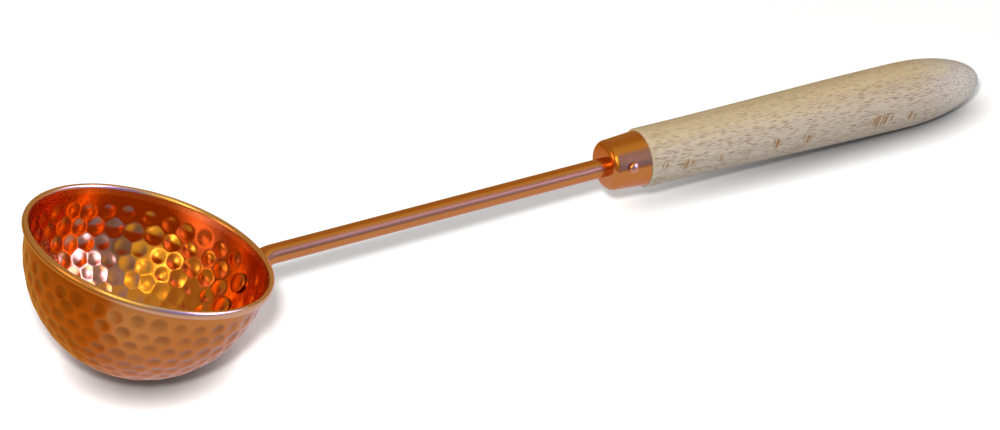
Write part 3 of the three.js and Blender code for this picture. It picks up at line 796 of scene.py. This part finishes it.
def ferrule():
    bore = SHAFT_RADIUS + SNUG
    outline = cap_outline(0.0, 0.0, bore) + cap_outline(FERRULE_WALL, 0.0, bore)[::-1]
    bm = turned(outline, TURNED_STEPS, True)
    lean(bm, bore)
    return stand(bm, GRIP_FROM, GRIP_ALONG, GRIP_UP)


def ferrule_nail():
    foot = GRIP_FROM - GRIP_ALONG * NAIL_OFFSET
    outward = GRIP_UP * math.sin(NAIL_ANGLE) - ACROSS * math.cos(NAIL_ANGLE)
    seat = FERRULE_REAR_RADIUS - FERRULE_TAPER * NAIL_OFFSET + FIT
    tip = seat - NAIL_LENGTH
    outline = [(0.0, tip), (NAIL_SHANK, tip + NAIL_POINT), (NAIL_SHANK, seat)]
    outline += dome(NAIL_HEAD_RADIUS, seat, NAIL_HEAD_HEIGHT, DOME_STEPS)
    return stand(turned(outline, PIN_STEPS), foot, outward, GRIP_ALONG)


def grip():
    bore = SHAFT_RADIUS + FIT
    bore_end = TANG_LENGTH + FIT
    body_start = FIT + GRIP_EDGE
    body_end = GRIP_LENGTH - GRIP_END_LENGTH
    outline = [(0.0, bore_end), (bore, bore_end)]
    outline += cap_outline(FERRULE_WALL + FIT, FIT, bore)
    outline += arc((GRIP_NECK_RADIUS - GRIP_EDGE, body_start), GRIP_EDGE, -90, 0, GRIP_EDGE_STEPS)
    for i in range(1, GRIP_SWELL_STEPS):
        t = i / GRIP_SWELL_STEPS
        swell = t * t * (3 - 2 * t)
        outline.append((GRIP_NECK_RADIUS + (GRIP_RADIUS - GRIP_NECK_RADIUS) * swell,
                        body_start + (body_end - body_start) * t))
    outline += dome(GRIP_RADIUS, body_end, GRIP_END_LENGTH, GRIP_END_STEPS)
    bm = turned(outline, TURNED_STEPS)
    lean(bm, bore)
    return stand(bm, GRIP_FROM, GRIP_ALONG, GRIP_UP)


nail_finish = headed_copper("headed_copper_nail", "#d88b58", "#e6a478")
rivet_finish = headed_copper("headed_copper_rivet", "#c46a2a", "#d27c3a")
keep_piece(bowl(), "hammered_bowl", "bowl", hammered_copper())
keep_piece(rim_wire(), "wired_rim", "rim_wire", rivet_finish)
keep_piece(shaft(), "bent_rod", "shaft", drawn_copper())
keep_piece(rivet(UPPER_RIVET), "rivet_upper", "upper_rivet", rivet_finish)
keep_piece(rivet(LOWER_RIVET), "rivet_lower", "lower_rivet", rivet_finish)
keep_piece(ferrule(), "copper_cap", "ferrule", spun_copper())
keep_piece(ferrule_nail(), "cap_nail", "ferrule_nail", nail_finish)
keep_piece(grip(), "beech_grip", "grip", turned_beech())


# Stage

def toward(azimuth, elevation):
    """Direction from the ladle, by degrees round from +X and up from the table."""
    turn = math.radians(azimuth)
    rise = math.radians(elevation)
    return Vector((math.cos(turn) * math.cos(rise), math.sin(turn) * math.cos(rise), math.sin(rise)))


def softbox(name, azimuth, elevation, distance, size, watts, colour):
    """A square lamp that faces the ladle. Metal doesn't mirror it."""
    data = bpy.data.lights.new(name, "AREA")
    data.shape = "SQUARE"
    data.size = size
    data.energy = watts
    data.color = linear(colour)[:3]
    lamp = bpy.data.objects.new(name, data)
    direction = toward(azimuth, elevation)
    lamp.location = direction * distance
    lamp.rotation_euler = direction.to_track_quat("Z", "Y").to_euler()
    lamp.visible_camera = False
    lamp.visible_glossy = False
    bpy.context.scene.collection.objects.link(lamp)


# Matt white board. The eye sees paper white that keeps the soft shadow of the ladle, with painted contact
# shade where the ladle is close. Metal mirrors it warm beyond the ladle and on the left, cool on the window
# side, and coppery close to the ladle, as painted light from the copper.
def white_board():
    material, tree = new_finish("matt_white_board")
    path = add(tree, "ShaderNodeLightPath")
    at = add(tree, "ShaderNodeTexCoord").outputs["Object"]
    place = add(tree, "ShaderNodeSeparateXYZ", {0: at})
    left = add(tree, "ShaderNodeMath", {0: place.outputs["X"], 1: TINT_BEND_X}, operation="MINIMUM")
    slanted = add(tree, "ShaderNodeMath", {0: left.outputs[0], 1: TINT_SLOPE_X}, operation="MULTIPLY")
    in_front = add(tree, "ShaderNodeMath", {
        0: place.outputs["Y"], 1: TINT_SLOPE_Y, 2: slanted.outputs[0],
    }, operation="MULTIPLY_ADD")
    cool = add(tree, "ShaderNodeMapRange", {
        "Value": in_front.outputs[0], "From Min": TINT_WARM, "From Max": TINT_COOL,
    })
    tint = add(tree, "ShaderNodeMix", {
        "Factor": cool.outputs["Result"], "A": linear("#c09a4a"), "B": linear("#ced9ee"),
    }, data_type="RGBA")
    from_end = add(tree, "ShaderNodeMath", {0: place.outputs["X"], 1: DIM_LEFT_END}, operation="SUBTRACT")
    past_end = add(tree, "ShaderNodeMath", {0: from_end.outputs[0], 1: 0.0}, operation="MINIMUM")
    beside = add(tree, "ShaderNodeCombineXYZ", {"X": past_end.outputs[0], "Y": place.outputs["Y"]})
    away = add(tree, "ShaderNodeVectorMath", {0: beside.outputs[0]}, operation="LENGTH")
    dim = add(tree, "ShaderNodeMapRange", {
        "Value": away.outputs["Value"], "From Min": DIM_FROM, "From Max": DIM_TO,
        "To Min": 1.0, "To Max": DIM_LEAST,
    })
    dimmed = add(tree, "ShaderNodeVectorMath", {
        0: tint.outputs[2], 3: dim.outputs["Result"],
    }, operation="SCALE")
    open_share = add(tree, "ShaderNodeAmbientOcclusion", {"Distance": BOUNCE_REACH}, samples=8)
    bounced = add(tree, "ShaderNodeMix", {
        "Factor": open_share.outputs["AO"], "A": linear("#c07336"), "B": dimmed.outputs[0],
    }, data_type="RGBA")
    mirrored = add(tree, "ShaderNodeMix", {
        "Factor": BOUNCE_SHARE, "A": dimmed.outputs[0], "B": bounced.outputs[2],
    }, data_type="RGBA")
    # Painted contact shade: the paper darkens where the ladle is within reach
    paper_with_contact_shade = add(tree, "ShaderNodeAmbientOcclusion", {
        "Color": linear("#f7f7f7"), "Distance": CONTACT_SHADE_REACH,
    }, samples=16)
    colour = add(tree, "ShaderNodeMix", {
        "Factor": path.outputs["Is Glossy Ray"], "A": paper_with_contact_shade.outputs["Color"], "B": linear("#000000"),
    }, data_type="RGBA")
    board = add(tree, "ShaderNodeBsdfDiffuse", {"Color": colour.outputs[2]})
    glow = add(tree, "ShaderNodeMix", {
        "Factor": path.outputs["Is Glossy Ray"], "A": paper_with_contact_shade.outputs["Color"], "B": mirrored.outputs[2],
    }, data_type="RGBA")
    seen = add(tree, "ShaderNodeMath", {
        0: path.outputs["Is Camera Ray"], 1: path.outputs["Is Transmission Ray"],
    }, operation="MAXIMUM")
    straight = add(tree, "ShaderNodeMath", {0: seen.outputs[0], 1: PAPER_LIFT}, operation="MULTIPLY")
    lift = add(tree, "ShaderNodeMath", {
        0: path.outputs["Is Glossy Ray"], 1: MIRRORED_LIFT, 2: straight.outputs[0],
    }, operation="MULTIPLY_ADD")
    light = add(tree, "ShaderNodeEmission", {"Color": glow.outputs[2], "Strength": lift.outputs[0]})
    both = add(tree, "ShaderNodeAddShader", {0: board.outputs[0], 1: light.outputs[0]})
    add(tree, "ShaderNodeOutputMaterial", {"Surface": both.outputs[0]})
    return material


def table_top():
    bm = bmesh.new()
    bmesh.ops.create_grid(bm, x_segments=1, y_segments=1, size=TABLE_HALF_SIZE)
    mesh = bpy.data.meshes.new("table_top")
    bm.to_mesh(mesh)
    bm.free()
    mesh.materials.append(white_board())
    board = bpy.data.objects.new("table_top", mesh)
    bpy.context.scene.collection.objects.link(board)


# Room light. Matt surfaces get an even neutral fill. Polished metal mirrors a warm room with two lamps above
# the viewer, a lamp on the left, and walls lit by daylight from a window on the right.
def room():
    world = bpy.data.worlds.new("studio")
    bpy.context.scene.world = world
    world.use_nodes = True
    tree = world.node_tree
    tree.nodes.clear()
    where = add(tree, "ShaderNodeTexCoord").outputs["Generated"]
    colour = linear(ROOM_COLOUR)
    glows = (CEILING, *DAYLIT_WALLS, LAMPLIT_WALL, *LAMPS_ABOVE, *WINDOW, LAMP_LEFT)
    for azimuth, elevation, spread, shade, strength in glows:
        near = add(tree, "ShaderNodeVectorMath", {
            0: where, 1: toward(azimuth, elevation),
        }, operation="DOT_PRODUCT")
        weight = add(tree, "ShaderNodeMapRange", {
            "Value": near.outputs["Value"], "From Min": math.cos(math.radians(spread)), "From Max": 1.0,
        }, interpolation_type="SMOOTHSTEP")
        glow = [part * strength for part in linear(shade)]
        colour = add(tree, "ShaderNodeMix", {
            "Factor": weight.outputs["Result"], "A": colour, "B": glow,
        }, data_type="RGBA").outputs[2]
    path = add(tree, "ShaderNodeLightPath")
    fill = add(tree, "ShaderNodeBackground", {"Color": linear("#ffffff"), "Strength": FILL})
    mirrored = add(tree, "ShaderNodeBackground", {"Color": colour, "Strength": 1.0})
    white = add(tree, "ShaderNodeBackground", {"Color": linear("#ffffff"), "Strength": 1.0})
    lit = add(tree, "ShaderNodeMixShader", {
        0: path.outputs["Is Glossy Ray"], 1: fill.outputs[0], 2: mirrored.outputs[0],
    })
    both = add(tree, "ShaderNodeMixShader", {
        0: path.outputs["Is Camera Ray"], 1: lit.outputs[0], 2: white.outputs[0],
    })
    add(tree, "ShaderNodeOutputWorld", {"Surface": both.outputs[0]})


def camera():
    data = bpy.data.cameras.new("photo_view")
    data.sensor_width = SENSOR_WIDTH
    data.lens = LENS
    data.clip_end = SIGHT
    eye = bpy.data.objects.new("photo_view", data)
    turn = Matrix((EYE_RIGHT, EYE_RIGHT.cross(EYE_FORWARD), -EYE_FORWARD)).transposed().to_4x4()
    eye.matrix_world = Matrix.Translation(EYE_AT) @ turn
    bpy.context.scene.collection.objects.link(eye)
    bpy.context.scene.camera = eye


table_top()
room()
softbox("key", azimuth=-125, elevation=43, distance=2.0, size=0.2, watts=35.0, colour="#fffefc")
camera()
bpy.context.scene.view_settings.view_transform = "Standard"
